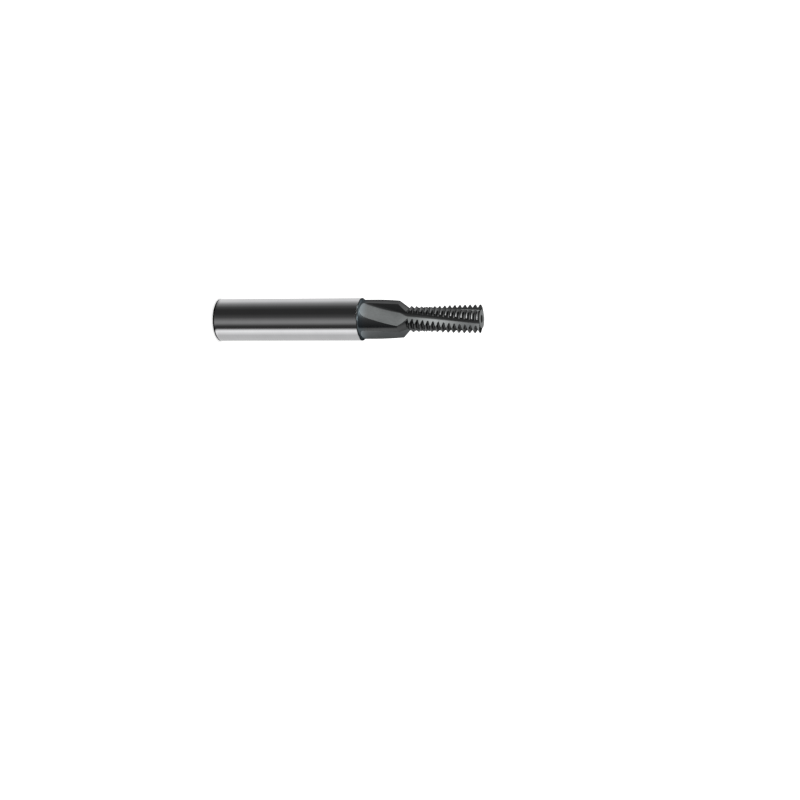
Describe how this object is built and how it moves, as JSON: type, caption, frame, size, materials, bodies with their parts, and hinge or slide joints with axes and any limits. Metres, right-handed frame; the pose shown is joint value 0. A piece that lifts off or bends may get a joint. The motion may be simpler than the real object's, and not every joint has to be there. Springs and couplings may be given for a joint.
{
  "type": "thread mill",
  "caption": "Solid carbide thread mill with a plain ground shank, a countersink step, helical flutes, ring-shaped thread teeth and a central coolant duct.",
  "frame": {"origin": "centre of the flat shank end, where the tool stands", "axes": "+Z along the tool axis from the shank end to the tip, +X through a cutting edge at the tip"},
  "size_m": [0.012, 0.012, 0.0773],
  "materials": {
    "carbide": "ground shank, dark coated head"
  },
  "bodies": {
    "root": {"thread_mill": "carbide"}
  },
  "joints": []
}
